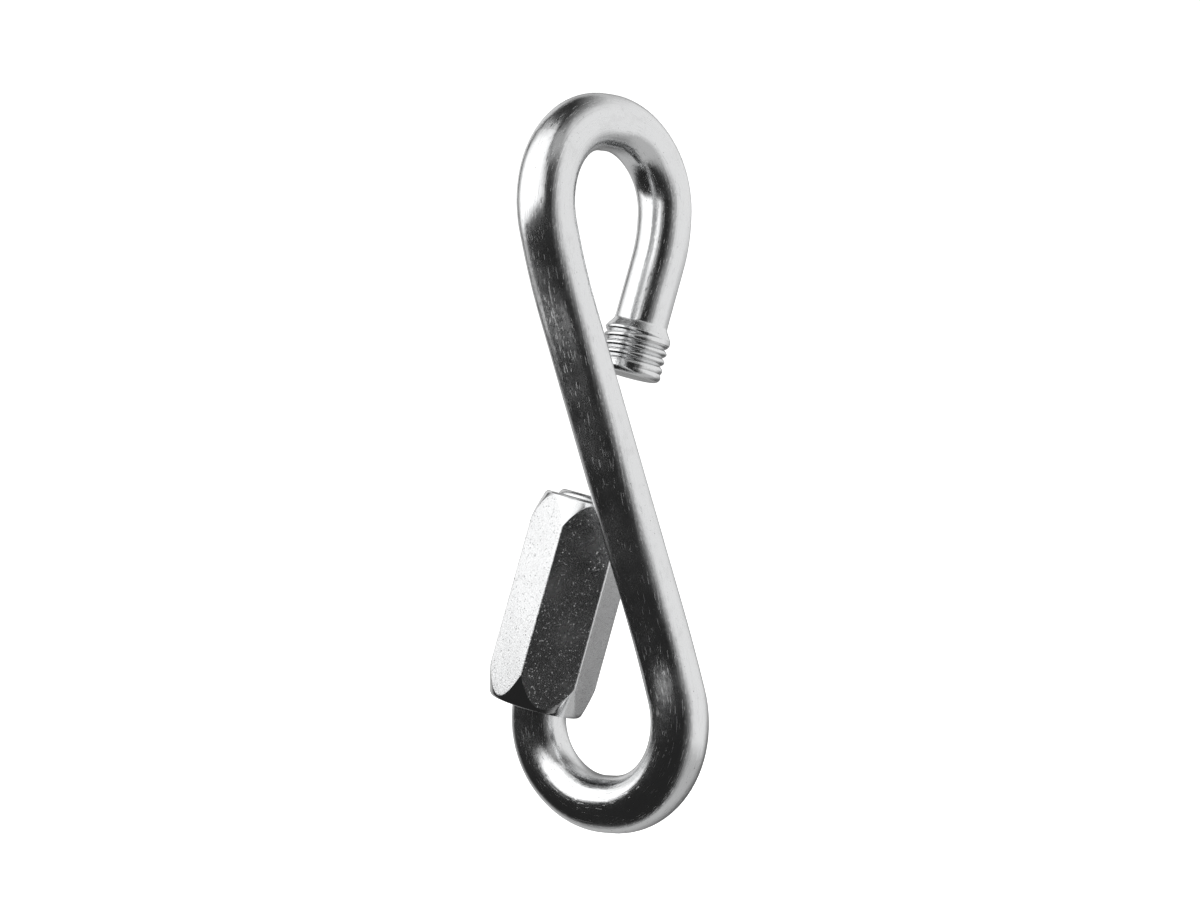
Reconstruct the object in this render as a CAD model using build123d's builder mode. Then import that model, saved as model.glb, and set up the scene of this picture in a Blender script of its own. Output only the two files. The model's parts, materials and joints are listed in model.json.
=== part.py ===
from build123d import *

import os
from math import cos, radians, tan

os.makedirs("parts", exist_ok=True)

# A twisted screw link: one round steel bar bent into two eyes, the lower eye a quarter turn from the upper.
# The bar's two ends face each other across a gate gap. Both are enlarged and threaded, and a long hex
# sleeve nut on the lower end winds up to close the gap. The nut is modelled fully open.
#
# Frame: +Z along the link. The upper eye lies in the XZ plane and the lower eye in the YZ plane. The origin
# is the point inside the upper eye that carries the load. The lower half is the upper half turned half
# round about the horizontal line x = y through the link's middle.

# ---- driving dimensions, mm ----
bar_d = 8.0

thread_d = 10.0
thread_pitch = 1.25
thread_depth = 0.68
crest_width = 0.22
thread_turns = 3  # at full depth
lead_turns = 0.9  # where the groove deepens behind the blunt lip at the tip
lead_angle = 34  # degrees between the deepening groove and the stud's axis
runout_turns = 0.5  # where it fades out again beside the shoulder
runout_angle = 50
stud_length = 6.4  # from the tip to the widest edge of the shoulder
shoulder_length = 1.5  # cone from the stud down to the bar
shoulder_round = 0.3
tip_round = 0.9

nut_flats = 14.0
nut_length = 31.0
nut_corner_round = 0.4
nut_turn = 3.0  # degrees that the flats are turned from facing the solid side
nut_clearance = 0.05  # radial gap between the nut's bore and the thread's crests
bevel_length = 4.6  # length of the end bevels along the nut's corners
bevel_crown = 0.04  # how far the turned bevels bulge from a straight cone
face_radius = 6.85  # radius of the nut's flat end faces
rim_round = 0.3
mouth_chamfer = 0.6

gate_gap = 18.6
tip_above_nut = 0.8  # how far the lower stud stands out of the open nut

# Corners of the upper eye's bends, measured from the link's middle, from the gate side over the crown
# and down to the solid side. Each has the radius of its bend, measured to the bar's centre line.
upper_bends = [
    ((13.1, 0.0, 32.4), 28.0),
    ((14.1, 0.0, 41.7), 10.3),
    ((6.1, 0.0, 48.8), 12.5),
    ((-6.7, 0.0, 47.8), 12.9),
    ((-13.8, 0.0, 37.8), 11.7),
    ((-9.3, 0.8, 25.4), 32.0),
]
gate_rise = 4.1  # the gate gap's middle above the link's middle, along the nut's axis

# ---- worked out from them ----
bar_r = bar_d / 2
thread_r = thread_d / 2
corner_r = nut_flats / 2 / cos(radians(30))
bore_r = thread_r + nut_clearance
# The groove's full depth ends a whole number of pitches from that of the other stud, so that the nut
# meets both in step.
pitches_across_gate = 24
thread_end = (pitches_across_gate * thread_pitch - gate_gap) / 2

# Height of the upper eye's bearing point above the link's middle, where the crown crosses the long axis.
gate_crown = Vector(upper_bends[2][0])
crown_run = gate_crown - Vector(upper_bends[3][0])
crown_height = gate_crown.Z - gate_crown.X * crown_run.Z / crown_run.X
eye_height = crown_height - bar_r * crown_run.length / crown_run.X


def upper(corner):
    """A corner of the upper half, in the part's frame."""
    x, y, z = corner
    return Vector(x, y, z - eye_height)


def lower(corner):
    """The matching corner of the lower half."""
    x, y, z = corner
    return Vector(y, x, -z - eye_height)


# The nut's axis joins the first bend of the upper half to the first bend of the lower half.
nut_top_bend = upper(upper_bends[0][0])
nut_low_bend = lower(upper_bends[0][0])
nut_axis = (nut_top_bend - nut_low_bend).normalized()
gate_middle = (nut_top_bend + nut_low_bend) / 2 + nut_axis * gate_rise
upper_tip = gate_middle + nut_axis * (gate_gap / 2)
lower_tip = gate_middle - nut_axis * (gate_gap / 2)
nut_top = lower_tip - nut_axis * tip_above_nut
nut_foot = nut_top - nut_axis * nut_length
away = Vector(1, 1, 0)  # from the link's solid side towards the nut, square to the nut's axis
thread_side = nut_axis.cross(away)  # where each thread begins to fade out
groove_overshoot = 0.1  # how far the groove's cutter stands out past the crests

# ---- threaded stud, tip at the origin, growing along +Z towards the bar ----
with BuildPart() as stud:
    with BuildSketch(Plane.XZ):
        with BuildLine():
            Line((0, 0), (thread_r - tip_round, 0))
            CenterArc((thread_r - tip_round, tip_round), tip_round, -90, 90)
            FilletPolyline(
                (thread_r, tip_round),
                (thread_r, stud_length),
                (bar_r, stud_length + shoulder_length),
                radius=shoulder_round,
            )
            Polyline((bar_r, stud_length + shoulder_length), (0, stud_length + shoulder_length), (0, 0))
        make_face()
    revolve(axis=Axis.Z)

    groove_mouth = thread_pitch - crest_width
    groove_root = groove_mouth - 2 * thread_depth * tan(radians(30))
    thread_start = thread_end - thread_turns * thread_pitch
    with BuildLine() as thread_line:
        Helix(thread_pitch, thread_end - thread_start, thread_r, center=(0, 0, thread_start))
    with BuildLine() as lead_line:
        Helix(
            thread_pitch / cos(radians(lead_angle)),
            thread_pitch * lead_turns,
            thread_r,
            center=(0, 0, thread_start),
            direction=(0, 0, -1),
            cone_angle=lead_angle,
        )
    with BuildLine() as runout_line:
        Helix(
            thread_pitch / cos(radians(runout_angle)),
            thread_pitch * runout_turns,
            thread_r,
            center=(0, 0, thread_end),
            cone_angle=runout_angle,
        )
    lead_in = lead_line.line.rotate(Axis.Z, 180)
    for groove_line in (thread_line.line, lead_in, runout_line.line):
        with BuildSketch(Plane(groove_line @ 0, x_dir=(1, 0, 0), z_dir=groove_line % 0)):
            with BuildLine():
                Polyline(
                    (groove_overshoot, groove_mouth / 2),
                    (-thread_depth, groove_root / 2),
                    (-thread_depth, -groove_root / 2),
                    (groove_overshoot, -groove_mouth / 2),
                    close=True,
                )
            make_face()
        sweep(path=groove_line, is_frenet=True, mode=Mode.SUBTRACT)

# ---- link body: the bent bar with a stud at each end ----
with BuildPart() as link_body:
    corners = [lower(corner) for corner, radius in upper_bends]
    corners += [upper(corner) for corner, radius in reversed(upper_bends)]
    radii = [radius for corner, radius in upper_bends]
    radii += reversed(radii)
    inset = nut_axis * (stud_length / 2)
    with BuildLine() as bar_line:
        FilletPolyline(lower_tip - inset, *corners, upper_tip + inset, radius=radii)
    with BuildSketch(Plane(bar_line.line @ 0, z_dir=bar_line.line % 0)):
        Circle(bar_r)
    sweep(path=bar_line.line)
    with Locations(
        Plane(lower_tip, x_dir=thread_side, z_dir=-nut_axis),
        Plane(upper_tip, x_dir=thread_side, z_dir=nut_axis),
    ):
        add(stud.part)
link_body.part.label = "link_body"
export_step(link_body.part, "parts/link_body.step")

# ---- sleeve nut, foot at the origin, along +Z ----
with BuildPart() as nut_blank:
    with BuildSketch():
        RegularPolygon(corner_r, 6, rotation=30 + nut_turn)
        fillet(vertices(), nut_corner_round)
    extrude(amount=nut_length)
    with BuildSketch(Plane.XZ):
        with BuildLine():
            foot_bevel = SagittaArc((face_radius, 0), (corner_r, bevel_length), -bevel_crown)
            top_corner = (corner_r, nut_length - bevel_length)
            top_bevel = SagittaArc(top_corner, (face_radius, nut_length), -bevel_crown)
            Line(foot_bevel @ 1, top_bevel @ 0)
            Polyline(top_bevel @ 1, (0, nut_length), (0, 0), foot_bevel @ 0)
        make_face()
    revolve(axis=Axis.Z, mode=Mode.INTERSECT)
    end_faces = faces().filter_by(GeomType.PLANE).filter_by(Axis.Z)
    fillet(end_faces.edges(), rim_round)
    Hole(bore_r)
    bore = faces().filter_by(GeomType.CYLINDER).sort_by(SortBy.AREA)[-1]
    chamfer(bore.edges().filter_by(GeomType.CIRCLE), mouth_chamfer)

with BuildPart() as sleeve_nut:
    with Locations(Plane(nut_foot, x_dir=away, z_dir=nut_axis)):
        add(nut_blank.part)
sleeve_nut.part.label = "sleeve_nut"
export_step(sleeve_nut.part, "parts/sleeve_nut.step")
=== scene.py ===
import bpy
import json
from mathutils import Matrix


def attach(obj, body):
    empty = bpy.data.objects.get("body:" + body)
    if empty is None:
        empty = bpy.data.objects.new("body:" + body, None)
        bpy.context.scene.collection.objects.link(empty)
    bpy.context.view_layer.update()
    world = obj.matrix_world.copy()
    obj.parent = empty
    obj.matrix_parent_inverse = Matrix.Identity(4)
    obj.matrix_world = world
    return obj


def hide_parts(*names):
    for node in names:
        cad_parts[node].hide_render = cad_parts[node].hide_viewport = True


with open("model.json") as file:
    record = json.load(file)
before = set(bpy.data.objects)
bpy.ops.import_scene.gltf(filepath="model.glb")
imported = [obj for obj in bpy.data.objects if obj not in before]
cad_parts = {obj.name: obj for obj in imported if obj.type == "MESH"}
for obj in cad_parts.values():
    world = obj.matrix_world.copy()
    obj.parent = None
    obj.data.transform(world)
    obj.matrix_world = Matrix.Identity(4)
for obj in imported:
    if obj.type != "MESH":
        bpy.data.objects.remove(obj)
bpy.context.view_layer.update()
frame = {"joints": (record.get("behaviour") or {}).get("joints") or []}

import json
from math import atan2, cos, pi, radians, sin, tan

import bpy
import numpy as np
from mathutils import Euler

# A twisted screw link of bright zinc plated steel, hanging by its upper eye over a pale floor. Lengths are
# in millimetres, as on a drawing, and become metres where a mesh is made.
MM = 0.001

# ---- dimensions, mm, the same as the CAD's ----
BAR_R = 4.0
THREAD_R = 5.0
PITCH = 1.25
THREAD_TURNS = 3
LEAD_TURNS = 0.9  # over which the thread deepens behind the tip's rounded lip
RUNOUT_TURNS = 0.5
STUD_LENGTH = 6.4
SHOULDER_LENGTH = 1.5
TIP_ROUND = 0.9

NUT_FLATS = 14.0
NUT_LENGTH = 31.0
NUT_CORNER_ROUND = 0.4
NUT_TURN = 3.0  # degrees
BORE_R = 5.05
BEVEL_LENGTH = 4.6
BEVEL_CROWN = 0.04
FACE_R = 6.85
RIM_ROUND = 0.3
MOUTH_CHAMFER = 0.6

GATE_GAP = 18.6
TIP_ABOVE_NUT = 0.8
GATE_RISE = 4.1
PITCHES_ACROSS_GATE = 24
UPPER_BENDS = [  # each corner of the bar's line and the radius of its bend
    ((13.1, 0.0, 32.4), 28.0),
    ((14.1, 0.0, 41.7), 10.3),
    ((6.1, 0.0, 48.8), 12.5),
    ((-6.7, 0.0, 47.8), 12.9),
    ((-13.8, 0.0, 37.8), 11.7),
    ((-9.3, 0.8, 25.4), 32.0),
]

# ---- finer shape that only the visual pieces have, mm ----
THREAD_DEPTH = 0.55  # of the groove below its crests
CREST_WEAR = 0.08  # how far the rolled crests stay below the collar
SHOULDER_SOFT = 0.105  # each of the shoulder's two edges is rounded down or filled by half of this
INNER_GROOVE_DEPTH = 0.5
INNER_GROOVE_HALF = 0.5  # half the groove's width at the bore
INNER_GROOVE_FLANK = 0.36  # width of each sloping flank
CREASE_SOFT = 0.05  # a crease between bevel and flat is worn down by half of this
TURNED_EDGE = 0.1  # half the width over which the turned finish gives way to the grain

# ---- how the meshes are laid out; lengths in mm ----
AROUND = 144  # points round the bar
BAR_STEP = 0.9
STUD_STEP = 0.045
BORE_STEP = 0.0625
PLAIN_LENGTH = 0.5  # plain bar behind the shoulder, meshed with the stud
JOIN_GAP = 0.2  # least distance from there to the bar's own rows
CAP_SHARES = (0.02, 0.35, 0.7, 0.97)  # rings on a stud's flat tip, as shares of the tip's radius
TWIST_FROM, TWIST_TO = 0.1, 0.9  # shares of the bar's length between which end_twist is spread
EDGE_ROW = 0.05  # distance from an edge of the nut's end face to the row that keeps it crisp
CREASE_REACH = 0.22  # how far either side of a crease the rows are close together

# ---- places worked out from them, mm, in the part's frame ----
thread_end = (PITCHES_ACROSS_GATE * PITCH - GATE_GAP) / 2
thread_start = thread_end - THREAD_TURNS * PITCH
crown_a, crown_b = (np.array(UPPER_BENDS[i][0]) for i in (2, 3))
crown_run = crown_a - crown_b
crown_height = crown_a[2] - crown_a[0] * crown_run[2] / crown_run[0]
eye_height = crown_height - BAR_R * np.linalg.norm(crown_run) / crown_run[0]


def upper(corner):
    """A corner of the upper half's line, in the part's frame."""
    x, y, z = corner
    return np.array([x, y, z - eye_height])


def lower(corner):
    """The same corner in the lower half, turned half round about the level line x = y."""
    x, y, z = corner
    return np.array([y, x, -z - eye_height])


def unit(v):
    return v / np.linalg.norm(v)


def soft_min(a, b, width):
    """The smaller of two values, rounded over where they cross."""
    return (a + b - np.sqrt((a - b) ** 2 + width**2)) / 2


def soft_max(a, b, width):
    """The larger of two values, rounded over where they cross."""
    return (a + b + np.sqrt((a - b) ** 2 + width**2)) / 2


nut_axis = unit(np.array(frame["joints"][0]["axis"], float))
gate_middle = (upper(UPPER_BENDS[0][0]) + lower(UPPER_BENDS[0][0])) / 2 + nut_axis * GATE_RISE
upper_tip = gate_middle + nut_axis * (GATE_GAP / 2)
lower_tip = gate_middle - nut_axis * (GATE_GAP / 2)
nut_foot = lower_tip - nut_axis * (TIP_ABOVE_NUT + NUT_LENGTH)
away = unit(np.array([1.0, 1.0, 0.0]))  # from the link's solid side towards the nut
thread_side = np.cross(nut_axis, away)  # zero of the angle round each stud


# ---- meshes ----
def grid_mesh(name, rows, closed_tube=False):
    """A mesh from rows of points, each row a closed ring. With closed_tube the last row joins the first."""
    rows = np.asarray(rows, float)
    count, ring = rows.shape[:2]
    index = np.arange(count * ring).reshape(count, ring)
    below = index if closed_tube else index[:-1]
    above = np.roll(index, -1, 0) if closed_tube else index[1:]
    quads = np.stack([below, np.roll(below, -1, 1), np.roll(above, -1, 1), above], -1).reshape(-1, 4)
    faces = quads.tolist()
    if not closed_tube:
        faces += [index[0][::-1].tolist(), index[-1].tolist()]
    mesh = bpy.data.meshes.new(name)
    mesh.from_pydata((rows.reshape(-1, 3) * MM).tolist(), [], faces)
    mesh.shade_smooth()
    piece = bpy.data.objects.new(name, mesh)
    bpy.context.scene.collection.objects.link(piece)
    return piece


def add_attribute(piece, name, values):
    """Stores a vector for each vertex, for the material to read."""
    values = np.asarray(values, np.float32).reshape(-1, 3)
    attribute = piece.data.attributes.new(name, "FLOAT_VECTOR", "POINT")
    attribute.data.foreach_set("vector", values.ravel())


def smooth_step(low, high, x):
    """0 at low and 1 at high, eased; low may be above high."""
    t = np.clip((x - low) / (high - low), 0, 1)
    return t * t * (3 - 2 * t)


def rounded_path(corners, radii, step):
    """Points and directions along straight runs joined by arcs."""
    points, heads = [corners[0]], [unit(corners[1] - corners[0])]
    for before, corner, after, radius in zip(corners, corners[1:], corners[2:], radii):
        a, b = unit(before - corner), unit(after - corner)
        half = np.arccos(np.clip(a @ b, -1, 1)) / 2
        inset = radius / tan(half)
        centre = corner + unit(a + b) * radius / sin(half)
        start = corner + a * inset
        run = np.linalg.norm(start - points[-1])
        stops = max(1, int(np.ceil(run / step)))
        last = points[-1]
        for i in range(1, stops + 1):
            points.append(last + (start - last) * i / stops)
            heads.append(-a)
        turn = pi - 2 * half
        out, along = unit(start - centre), -a
        stops = max(4, int(np.ceil(turn * radius / step)))
        for i in range(1, stops + 1):
            w = turn * i / stops
            points.append(centre + radius * (out * cos(w) + along * sin(w)))
            heads.append(along * cos(w) - out * sin(w))
    last, end = points[-1], corners[-1]
    stops = max(1, int(np.ceil(np.linalg.norm(end - last) / step)))
    for i in range(1, stops + 1):
        points.append(last + (end - last) * i / stops)
        heads.append(unit(end - last))
    return np.array(points), np.array(heads)


def carried_frames(heads, first_side):
    """A side direction at each point, carried along the bar without twisting."""
    sides = [unit(first_side - heads[0] * (first_side @ heads[0]))]
    for head in heads[1:]:
        side = sides[-1]
        sides.append(unit(side - head * (side @ head)))
    return np.array(sides)


def stud_radius(height, angle):
    """The stud's surface at a height above its tip and an angle round it, thread included."""
    z = np.asarray(height, float)
    tip = np.where(
        z < TIP_ROUND,
        THREAD_R - TIP_ROUND + np.sqrt(np.clip(TIP_ROUND**2 - (TIP_ROUND - z) ** 2, 0, None)),
        THREAD_R,
    )
    shoulder = THREAD_R - (THREAD_R - BAR_R) * (z - STUD_LENGTH) / SHOULDER_LENGTH
    body = soft_max(soft_min(tip, shoulder, SHOULDER_SOFT), BAR_R, SHOULDER_SOFT)
    phase = (z - thread_start) / PITCH - angle / (2 * pi)
    turn = np.round(phase)
    off_centre = phase - turn
    turns_along = turn + angle / (2 * pi)
    fade_in = smooth_step(-LEAD_TURNS, 0, turns_along)
    fade_out = np.clip(1 - (turns_along - THREAD_TURNS) / RUNOUT_TURNS, 0, 1)
    cut = THREAD_DEPTH * (1 - 2 * np.abs(off_centre)) ** 2 + CREST_WEAR
    return body - cut * fade_in * smooth_step(0, 1, fade_out)


angles = np.arange(AROUND) * 2 * pi / AROUND


def ring_at(centre, side, head, radius):
    """A ring of points round the bar, square to its direction."""
    across = np.cross(head, side)
    r = np.broadcast_to(radius, (AROUND,))[:, None]
    return centre + r * (np.cos(angles)[:, None] * side + np.sin(angles)[:, None] * across)


# ---- link body: the bent bar and its two studs in one skin ----
corners = [lower_tip] + [lower(c) for c, _ in UPPER_BENDS]
corners += [upper(c) for c, _ in reversed(UPPER_BENDS)] + [upper_tip]
radii = [r for _, r in UPPER_BENDS] + [r for _, r in reversed(UPPER_BENDS)]
points, heads = rounded_path(corners, radii, BAR_STEP)
steps = np.linalg.norm(np.diff(points, axis=0), axis=1)
run = np.concatenate([[0], np.cumsum(steps)])
total = run[-1]
stud_top = STUD_LENGTH + SHOULDER_LENGTH + PLAIN_LENGTH
on_bar = (run > stud_top + JOIN_GAP) & (run < total - stud_top - JOIN_GAP)
sides = carried_frames(heads, thread_side)

# the last stud's own zero angle, seen from the carried frame; the difference is spread along the bar
end_side, end_head = sides[-1], heads[-1]
end_twist = atan2(thread_side @ np.cross(end_head, end_side), thread_side @ end_side)

# rows spaced by angle round the tip's arc, then even rows down the thread and the shoulder
stud_heights = np.concatenate([
    [0.0],
    TIP_ROUND * (1 - np.cos(np.linspace(0, pi / 2, 9)))[1:-1] * 0.9,
    np.arange(TIP_ROUND * 0.95, stud_top, STUD_STEP),
    [stud_top],
])
rows, places = [], []


def bar_place(along, radius):
    """Where a row lies on the straightened bar: two directions across it and the distance along it."""
    r = np.broadcast_to(radius, (AROUND,))
    return np.stack([r * np.cos(angles), r * np.sin(angles), np.full(AROUND, along)], -1)


for share in CAP_SHARES:
    radius = np.full(AROUND, (THREAD_R - TIP_ROUND) * share)
    rows.append(ring_at(lower_tip, thread_side, -nut_axis, np.minimum(radius, stud_radius(0.0, angles))))
    places.append(bar_place(0, radius))
for z in stud_heights:
    radius = stud_radius(z, angles)
    rows.append(ring_at(lower_tip - nut_axis * z, thread_side, -nut_axis, radius))
    places.append(bar_place(z, radius))
for point, head, side, along in zip(points[on_bar], heads[on_bar], sides[on_bar], run[on_bar]):
    twist = end_twist * smooth_step(TWIST_FROM * total, TWIST_TO * total, along)
    turned = side * cos(twist) + np.cross(head, side) * sin(twist)
    rows.append(ring_at(point, turned, head, BAR_R))
    places.append(bar_place(along, BAR_R))
# the upper stud's right-handed thread, read from its own tip, runs the other way round these rings
upper_angles = (-angles) % (2 * pi)
for z in stud_heights[::-1]:
    radius = stud_radius(z, upper_angles)
    rows.append(ring_at(upper_tip + nut_axis * z, thread_side, -nut_axis, radius))
    places.append(bar_place(total - z, radius))
for share in reversed(CAP_SHARES):
    radius = np.full(AROUND, (THREAD_R - TIP_ROUND) * share)
    radius = np.minimum(radius, stud_radius(0.0, upper_angles))
    rows.append(ring_at(upper_tip, thread_side, -nut_axis, radius))
    places.append(bar_place(total, radius))
link = grid_mesh("link_body_bar", rows)
add_attribute(link, "bar_place", places)
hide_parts("link_body")
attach(link, "link")

# ---- sleeve nut ----
corner_r = NUT_FLATS / 2 / cos(radians(30))
half_flat = NUT_FLATS / 2 * tan(radians(30))
corner_inset = NUT_CORNER_ROUND * tan(radians(30))
outline = []
for side_number in range(6):
    turned = radians(60 * side_number + NUT_TURN)
    middle = np.array([cos(turned), sin(turned)])
    across = np.array([-sin(turned), cos(turned)])
    reach = half_flat - corner_inset
    for t in np.concatenate([[-1, -0.985, -0.95], np.linspace(-0.85, 0.85, 9), [0.95, 0.985, 1]]):
        outline.append(middle * NUT_FLATS / 2 + across * reach * t)
    centre = middle * (NUT_FLATS / 2 - NUT_CORNER_ROUND) + across * reach
    for t in np.linspace(0, 60, 9)[1:-1]:
        w = turned + radians(t)
        outline.append(centre + NUT_CORNER_ROUND * np.array([cos(w), sin(w)]))
outline = np.array(outline)
hex_radius = np.linalg.norm(outline, axis=1)
hex_angle = np.arctan2(outline[:, 1], outline[:, 0]) % (2 * pi)
hex_way = outline / hex_radius[:, None]


def bevel_radius(z):
    """The turned bevel's radius at a height above the nearer end face."""
    share = np.clip(z / BEVEL_LENGTH, 0, 1)
    return FACE_R + (corner_r - FACE_R) * share + 4 * BEVEL_CROWN * share * (1 - share)


# height at which each column's bevel meets its flat or corner
heights = np.linspace(0, BEVEL_LENGTH, 4001)
meets = np.interp(hex_radius, bevel_radius(heights), heights)

nut_rows, nut_places = [], []
nut_side = away
nut_across = np.cross(nut_axis, nut_side)


def nut_row(radius, height, turned):
    """One ring of the nut. turned is 1 where a lathe cut the surface and 0 on the grained hex bar."""
    radius = np.broadcast_to(radius, hex_radius.shape)
    height = np.broadcast_to(height, hex_radius.shape)
    turned = np.broadcast_to(turned, hex_radius.shape)
    way = hex_way[:, :1] * nut_side + hex_way[:, 1:] * nut_across
    nut_rows.append(nut_foot + way * radius[:, None] + nut_axis * height[:, None])
    nut_places.append(np.stack([radius, height, turned], -1))


def eased(height):
    """Outer radius between the two creases and along the bevels, with each crease softened."""
    end = np.minimum(height, NUT_LENGTH - height)
    return soft_min(bevel_radius(end), hex_radius, CREASE_SOFT)


def turned_share(height):
    """1 on the turned bevel, 0 on the flats beyond it."""
    return smooth_step(TURNED_EDGE, -TURNED_EDGE, height - meets)


# rows over the rim, then up the bevel, over the crease and along the flat; where a bevel is too short to
# hold its rows they rise by a hair instead
rim = []
for w in np.linspace(0, pi / 2, 7)[:-1]:
    rim.append((np.full_like(hex_radius, FACE_R - RIM_ROUND * (1 - sin(w))),
                np.full_like(hex_radius, RIM_ROUND * (1 - cos(w)))))
low = []
for share in (0.0, 0.18, 0.36, 0.54, 0.7, 0.82, 0.92):
    height = RIM_ROUND + (meets - CREASE_REACH - RIM_ROUND) * share
    low.append(np.maximum(height, RIM_ROUND + 0.01 * share))
for off in (-1.0, -0.6, -0.3, 0.0, 0.3, 0.6, 1.0):
    low.append(np.maximum(meets + CREASE_REACH * off, RIM_ROUND + 0.012 + 0.004 * off))
flat_low = low[-1]
for share in np.linspace(0.02, 0.5, 14)[:-1]:
    low.append(flat_low + (NUT_LENGTH / 2 - flat_low) * share * 2)
for radius, height in rim:
    nut_row(radius, height, 1)
for height in low:
    nut_row(np.minimum(eased(height), bevel_radius(height)), height, turned_share(height))
nut_row(eased(np.full_like(hex_radius, NUT_LENGTH / 2)), NUT_LENGTH / 2, 0)
for height in reversed(low):
    nut_row(np.minimum(eased(height), bevel_radius(height)), NUT_LENGTH - height, turned_share(height))
for radius, height in reversed(rim):
    nut_row(radius, NUT_LENGTH - height, 1)

# the end faces and the bore between them
mouth_r = BORE_R + MOUTH_CHAMFER
face_radii = [FACE_R - RIM_ROUND - EDGE_ROW, (FACE_R + BORE_R) / 2, mouth_r + EDGE_ROW, mouth_r]
for radius in face_radii:
    nut_row(radius, NUT_LENGTH, 1)
inner_heights = np.arange(0.06, NUT_LENGTH, BORE_STEP)


def bore_radius(z):
    """The bore with its thread cut outwards, and the chamfer at each mouth."""
    phase = z / PITCH - hex_angle / (2 * pi)
    off_centre = np.abs(phase - np.round(phase)) * PITCH
    cut = np.clip((INNER_GROOVE_HALF - off_centre) / INNER_GROOVE_FLANK, 0, 1) * INNER_GROOVE_DEPTH
    end = np.minimum(z, NUT_LENGTH - z)
    mouth = BORE_R + np.clip(MOUTH_CHAMFER - end, 0, None)
    return np.maximum(BORE_R + cut, mouth)


for z in inner_heights[::-1]:
    nut_row(bore_radius(z), z, 1)
for radius in reversed(face_radii):
    nut_row(radius, 0.0, 1)
nut = grid_mesh("sleeve_nut_hex", nut_rows, closed_tube=True)
add_attribute(nut, "nut_place", nut_places)
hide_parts("sleeve_nut")
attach(nut, "nut")


# ---- materials ----
class Paint:
    """A metal material and short calls that wire its nodes."""

    def __init__(self, name, colour):
        self.material = bpy.data.materials.new(name)
        self.material.use_nodes = True
        self.nodes, self.links = self.material.node_tree.nodes, self.material.node_tree.links
        self.shader = self.nodes["Principled BSDF"]
        self.shader.inputs["Metallic"].default_value = 1.0
        self.shader.inputs["Base Color"].default_value = (*colour, 1)

    def put(self, socket, value):
        if isinstance(value, bpy.types.NodeSocket):
            self.links.new(value, socket)
        else:
            socket.default_value = value

    def math(self, operation, *values):
        """One step of arithmetic; each value is a number or a socket."""
        node = self.nodes.new("ShaderNodeMath")
        node.operation = operation
        for socket, value in zip(node.inputs, values):
            self.put(socket, value)
        return node.outputs[0]

    def attribute(self, name):
        """The vector stored at each vertex under this name."""
        node = self.nodes.new("ShaderNodeAttribute")
        node.attribute_name = name
        return node.outputs["Vector"]

    def moved(self, vector, scale=(1, 1, 1), turn=(0, 0, 0), shift=(0, 0, 0)):
        node = self.nodes.new("ShaderNodeMapping")
        self.put(node.inputs["Vector"], vector)
        node.inputs["Scale"].default_value = scale
        node.inputs["Rotation"].default_value = [radians(w) for w in turn]
        node.inputs["Location"].default_value = shift
        return node.outputs[0]

    def noise(self, vector, scale, detail=2.0, rough=0.5):
        node = self.nodes.new("ShaderNodeTexNoise")
        self.put(node.inputs["Vector"], vector)
        for name, value in (("Scale", scale), ("Detail", detail), ("Roughness", rough)):
            node.inputs[name].default_value = value
        return node.outputs[0]

    def grains(self, vector, scale):
        """A random colour and a random number for each grain."""
        node = self.nodes.new("ShaderNodeTexVoronoi")
        self.put(node.inputs["Vector"], vector)
        node.inputs["Scale"].default_value = scale
        chance = self.nodes.new("ShaderNodeTexWhiteNoise")
        self.put(chance.inputs["Vector"], node.outputs["Position"])
        return chance.outputs["Color"], chance.outputs["Value"]

    def vector(self, operation, *values):
        node = self.nodes.new("ShaderNodeVectorMath")
        node.operation = operation
        for socket, value in zip(node.inputs, values):
            self.put(socket, value)
        return node

    def tilt(self, normal, way, amount):
        """The normal leaned by a random way, whose parts run from 0 to 1, times an amount."""
        centred = self.vector("SUBTRACT", way, (0.5, 0.5, 0.5)).outputs[0]
        scaled = self.vector("SCALE", centred)
        self.put(scaled.inputs["Scale"], amount)
        leaned = self.vector("ADD", normal, scaled.outputs[0]).outputs[0]
        return self.vector("NORMALIZE", leaned).outputs[0]

    def ramp(self, value, low, high, start=0.0, end=1.0):
        """start where the value is low and end where it is high, eased between."""
        node = self.nodes.new("ShaderNodeMapRange")
        node.interpolation_type = "SMOOTHSTEP"
        self.put(node.inputs["Value"], value)
        for name, number in (("From Min", low), ("From Max", high), ("To Min", start), ("To Max", end)):
            node.inputs[name].default_value = number
        return node.outputs[0]

    def mix(self, share, first, second):
        """The first colour, turning into the second as the share rises."""
        node = self.nodes.new("ShaderNodeMix")
        node.data_type = "RGBA"
        self.put(node.inputs["Factor"], share)
        for socket, colour in ((node.inputs["A"], first), (node.inputs["B"], second)):
            self.put(socket, colour if isinstance(colour, bpy.types.NodeSocket) else (*colour, 1))
        return node.outputs["Result"]

    def bump(self, height, depth_mm, normal=None):
        """Relief on the surface; height runs from 0 to 1 and stands for depth_mm."""
        node = self.nodes.new("ShaderNodeBump")
        node.inputs["Distance"].default_value = depth_mm * MM
        self.put(node.inputs["Height"], height)
        if normal is not None:
            self.links.new(normal, node.inputs["Normal"])
        return node.outputs[0]

    def finish(self, piece, colour, roughness, normal):
        self.links.new(colour, self.shader.inputs["Base Color"])
        self.links.new(roughness, self.shader.inputs["Roughness"])
        self.links.new(normal, self.shader.inputs["Normal"])
        piece.data.materials.append(self.material)


ZINC = (0.80, 0.805, 0.81)
ZINC_DULL = (0.60, 0.60, 0.60)
PIT_GREY = (0.3, 0.3, 0.3)
GRAINS_PER_MM = 7.5  # of the sparkle on the nut's flats

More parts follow.
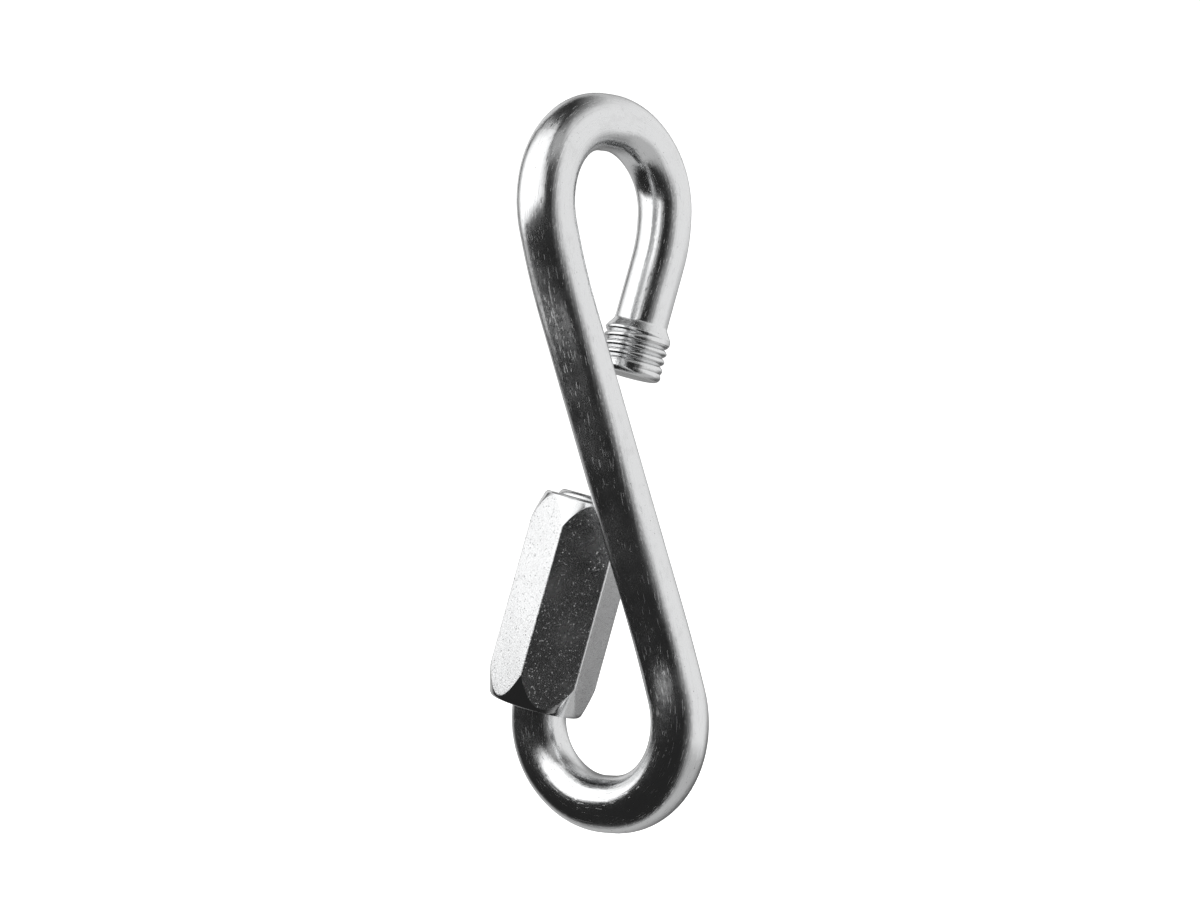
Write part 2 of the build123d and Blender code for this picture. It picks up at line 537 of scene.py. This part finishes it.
# drawn bar: fine lines and broader marks along it, a satin grain, stray handling scratches, smudges, dull
# mottling and a few pits
bar = Paint("bright_zinc_bar", ZINC)
place = bar.attribute("bar_place")
lines = bar.noise(bar.moved(place, scale=(5.5, 5.5, 0.09)), 1.0, 3.0, 0.6)
draw_marks = bar.noise(bar.moved(place, scale=(1.5, 1.5, 0.025)), 1.0, 2.0, 0.5)
grain = bar.noise(place, 7.0, 3.0, 0.65)
smudge = bar.noise(place, 0.16, 3.0, 0.6)
scratches = None
scratch_ways = [((18, 8, 0), 0.0, 0.69), ((-34, 20, 0), 40.0, 0.71), ((70, -30, 0), 90.0, 0.72)]
for turn, shift, rarity in scratch_ways:
    stretched = bar.moved(place, scale=(6.0, 6.0, 0.45), turn=turn, shift=(shift, shift, shift))
    found = bar.ramp(bar.noise(stretched, 1.0, 1.0, 0.5), rarity, rarity + 0.035)
    scratches = found if scratches is None else bar.math("MAXIMUM", scratches, found)
pits = bar.ramp(bar.noise(place, 3.1, 1.0, 0.5), 0.75, 0.785)
marks = bar.math("MAXIMUM", scratches, pits)
relief = bar.bump(draw_marks, 0.025)
relief = bar.bump(lines, 0.006, relief)
relief = bar.bump(grain, 0.004, relief)
relief = bar.bump(bar.math("SUBTRACT", 1.0, marks), 0.004, relief)
way, chance = bar.grains(bar.moved(place, scale=(5.0, 5.0, 2.2)), 1.0)
relief = bar.tilt(relief, way, bar.ramp(chance, 0.6, 1.0, 0.012, 0.08))
satin = bar.ramp(smudge, 0.35, 0.7, 0.16, 0.25)
roughness = bar.math("ADD", satin, bar.math("MULTIPLY", marks, 0.2))
colour = bar.mix(bar.ramp(lines, 0.55, 0.8, 0.0, 0.35), ZINC, ZINC_DULL)
mottling = bar.noise(place, 0.45, 4.0, 0.65)
colour = bar.mix(bar.ramp(mottling, 0.5, 0.75, 0.0, 0.3), colour, ZINC_DULL)
colour = bar.mix(pits, colour, PIT_GREY)
bar.finish(link, colour, roughness, relief)

# hex bar: a sparkling grain on the flats; smooth turned bevels and ends with fine rings
hexbar = Paint("grained_zinc_nut", ZINC)
place = hexbar.attribute("nut_place")
split_place = hexbar.nodes.new("ShaderNodeSeparateXYZ")
hexbar.links.new(place, split_place.inputs[0])
turned = split_place.outputs["Z"]
local = hexbar.nodes.new("ShaderNodeTexCoord").outputs["Object"]
local = hexbar.moved(local, scale=(1 / MM, 1 / MM, 1 / MM))
grained = hexbar.math("SUBTRACT", 1.0, turned)
grain = hexbar.noise(local, GRAINS_PER_MM, 2.0, 0.6)
way, chance = hexbar.grains(local, GRAINS_PER_MM)
smudge = hexbar.noise(local, 0.22, 3.0, 0.6)
rings = hexbar.noise(hexbar.moved(place, scale=(9.0, 9.0, 0.0)), 1.0, 2.0, 0.6)
relief = hexbar.bump(hexbar.math("MULTIPLY", grain, grained), 0.03)
lean = hexbar.ramp(chance, 0.91, 1.0, 0.04, 0.7)
relief = hexbar.tilt(relief, way, hexbar.math("MULTIPLY", lean, grained))
relief = hexbar.bump(hexbar.math("MULTIPLY", rings, turned), 0.003, relief)
flat_rough = hexbar.ramp(smudge, 0.35, 0.7, 0.2, 0.28)
turned_rough = hexbar.math("MULTIPLY", turned, 0.13)
roughness = hexbar.math("ADD", hexbar.math("MULTIPLY", flat_rough, grained), turned_rough)
colour = hexbar.mix(hexbar.ramp(grain, 0.3, 0.6, 0.5, 0.0), ZINC, ZINC_DULL)
hexbar.finish(nut, colour, roughness, relief)


# ---- stage: a seamless pale backdrop that the metal doesn't mirror ----
def lathe_mesh(name, profile, around):
    """A mesh from a profile of radii and heights in metres, turned about the upright axis."""
    turned = [2 * pi * i / around for i in range(around)]
    rows = [[(r * cos(w), r * sin(w), z) for w in turned] for r, z in profile]
    return grid_mesh(name, np.array(rows) / MM)


FLOOR_Z = -0.135
BACKDROP_R = 2.0
SWEEP_R = 0.8
SWEEP_ROWS = 12
DOME_ROWS = 16
HUB_R = 0.001  # the smallest ring of the floor and of the dome
profile = [(HUB_R, FLOOR_Z), (0.3, FLOOR_Z), (0.7, FLOOR_Z), (BACKDROP_R - SWEEP_R, FLOOR_Z)]
for i in range(1, SWEEP_ROWS + 1):
    w = pi / 2 * i / SWEEP_ROWS
    profile.append((BACKDROP_R - SWEEP_R * (1 - sin(w)), FLOOR_Z + SWEEP_R * (1 - cos(w))))
for i in range(1, DOME_ROWS + 1):
    w = pi / 2 * i / DOME_ROWS
    profile.append((BACKDROP_R * cos(w) + HUB_R, FLOOR_Z + SWEEP_R + BACKDROP_R * sin(w)))
backdrop = lathe_mesh("backdrop", profile, 96)
paper = bpy.data.materials.new("pale_paper")
paper.use_nodes = True
shader = paper.node_tree.nodes["Principled BSDF"]
shader.inputs["Base Color"].default_value = (0.9, 0.9, 0.9, 1)
shader.inputs["Roughness"].default_value = 0.9
shader.inputs["Emission Color"].default_value = (1, 1, 1, 1)
shader.inputs["Emission Strength"].default_value = 1.1
backdrop.data.materials.append(paper)
backdrop.visible_glossy = False
backdrop.visible_diffuse = False
backdrop.visible_transmission = False
backdrop.visible_shadow = False


# ---- studio light: soft patches far away in a dark room, and one diffuser near the camera ----
world = bpy.data.worlds.new("studio")
bpy.context.scene.world = world
world.use_nodes = True
world_nodes, world_links = world.node_tree.nodes, world.node_tree.links


def calc(operation, *values):
    """One step of arithmetic in the world's light; each value is a number or a socket."""
    node = world_nodes.new("ShaderNodeMath")
    node.operation = operation
    for socket, value in zip(node.inputs, values):
        if isinstance(value, (int, float)):
            socket.default_value = value
        else:
            world_links.new(value, socket)
    return node.outputs[0]


def ramp(value, low, high):
    """0 at low and 1 at high, eased; low may be above high."""
    node = world_nodes.new("ShaderNodeMapRange")
    node.interpolation_type = "SMOOTHSTEP"
    world_links.new(value, node.inputs["Value"])
    for name, number in (("From Min", low), ("From Max", high)):
        node.inputs[name].default_value = number
    return node.outputs[0]


direction = world_nodes.new("ShaderNodeTexCoord").outputs["Generated"]
split = world_nodes.new("ShaderNodeSeparateXYZ")
world_links.new(direction, split.inputs[0])
# bearing 0 is straight in front of the part, along -Y, and 90 is along +X
toward_front = calc("MULTIPLY", split.outputs["Y"], -1.0)
bearing = calc("MULTIPLY", calc("ARCTAN2", split.outputs["X"], toward_front), 180 / pi)
elevation = calc("MULTIPLY", calc("ARCSINE", split.outputs["Z"]), 180 / pi)


def panel(light, middle, left, right, bottom, top, radiance):
    """Lays a patch over the light so far. left, right, bottom and top are each (edge, full) in degrees, and
    the first two are measured from the middle's bearing."""
    side = calc("WRAP", calc("SUBTRACT", bearing, middle), 180.0, -180.0)
    share = calc("MULTIPLY", ramp(side, *left), ramp(side, *right))
    share = calc("MULTIPLY", share, calc("MULTIPLY", ramp(elevation, *bottom), ramp(elevation, *top)))
    gain = calc("MULTIPLY", calc("SUBTRACT", radiance, light), share)
    return calc("ADD", light, gain)


def softbox(name, stations, heights, radiance):
    """A tall curved diffuser beside the camera. Each station is a bearing, a distance, the height of its
    lower edge and its brightness; each height is a level and its brightness. Lengths in mm."""
    rows, glow = [], []
    for level, share in heights:
        row = []
        for angle, distance, foot, bright in stations:
            w = radians(angle)
            row.append((sin(w) * distance, -cos(w) * distance, foot + level))
            glow.append(bright * share)
        rows.append(row)
    count, width = len(rows), len(stations)
    faces = [(i * width + j, i * width + j + 1, (i + 1) * width + j + 1, (i + 1) * width + j)
             for i in range(count - 1) for j in range(width - 1)]
    mesh = bpy.data.meshes.new(name)
    mesh.from_pydata((np.array(rows).reshape(-1, 3) * MM).tolist(), [], faces)
    attribute = mesh.attributes.new("glow", "FLOAT", "POINT")
    attribute.data.foreach_set("value", glow)
    cloth = bpy.data.materials.new(name)
    cloth.use_nodes = True
    nodes, links = cloth.node_tree.nodes, cloth.node_tree.links
    nodes.remove(nodes["Principled BSDF"])
    emission = nodes.new("ShaderNodeEmission")
    share = nodes.new("ShaderNodeAttribute")
    share.attribute_name = "glow"
    strength = nodes.new("ShaderNodeMath")
    strength.operation = "MULTIPLY"
    strength.inputs[1].default_value = radiance
    links.new(share.outputs["Fac"], strength.inputs[0])
    links.new(strength.outputs[0], emission.inputs["Strength"])
    links.new(emission.outputs[0], nodes["Material Output"].inputs["Surface"])
    mesh.materials.append(cloth)
    box = bpy.data.objects.new(name, mesh)
    bpy.context.scene.collection.objects.link(box)
    box.visible_camera = False
    box.visible_shadow = False


SOFTBOX_STATIONS = [
    (-50, 96, -20, 0.05),
    (-66, 150, -30, 0.75),
    (-90, 180, -41, 1),
    (-118, 225, -66, 1),
    (-145, 284, -72, 1),
    (-160, 340, -96, 0.9),
    (-172, 400, -100, 0.5),
    (-186, 470, -90, 0.1),
    (-194, 500, -90, 0),
]
SOFTBOX_HEIGHTS = [(0, 0), (12, 0.2), (32, 1), (150, 1), (380, 0.9), (600, 0.5), (850, 0.3), (1150, 0)]
softbox("softbox", SOFTBOX_STATIONS, SOFTBOX_HEIGHTS, radiance=1.5)

ROOM_LIGHT = 0.02
PANELS = [  # the middle's bearing, then left, right, bottom, top and radiance
    (80, (-115, -65), (108, 78), (-95, -92), (60, 40), 0.52),
    (60, (-75, -45), (75, 25), (-32, -18), (82, 30), 0.9),
    (102, (-48, -2), (46, 6), (-74, -30), (14, -20), 0.12),
    (128, (-30, -4), (26, 4), (-20, 0), (42, 16), 0.2),
    (-26, (-34, -16), (28, 12), (26, 42), (72, 58), 0.42),
    (154, (-18, -6), (24, 8), (-4, 8), (58, 38), 0.75),
]
light = ROOM_LIGHT
for patch in PANELS:
    light = panel(light, *patch)
world_links.new(light, world_nodes["Background"].inputs["Color"])
world_nodes["Background"].inputs["Strength"].default_value = 1.0

bpy.context.scene.view_settings.view_transform = "Standard"

# ---- camera ----
camera_data = bpy.data.cameras.new("camera")
camera_data.lens = 47.16
camera_data.sensor_width = 36.0
camera_data.clip_start = 0.01
camera_data.clip_end = 10.0
camera = bpy.data.objects.new("camera", camera_data)
camera.location = (-0.17009, -0.14400, -0.04628)
camera.rotation_euler = Euler([radians(a) for a in (90.946, 0.417, -49.470)])
bpy.context.scene.collection.objects.link(camera)
bpy.context.scene.camera = camera
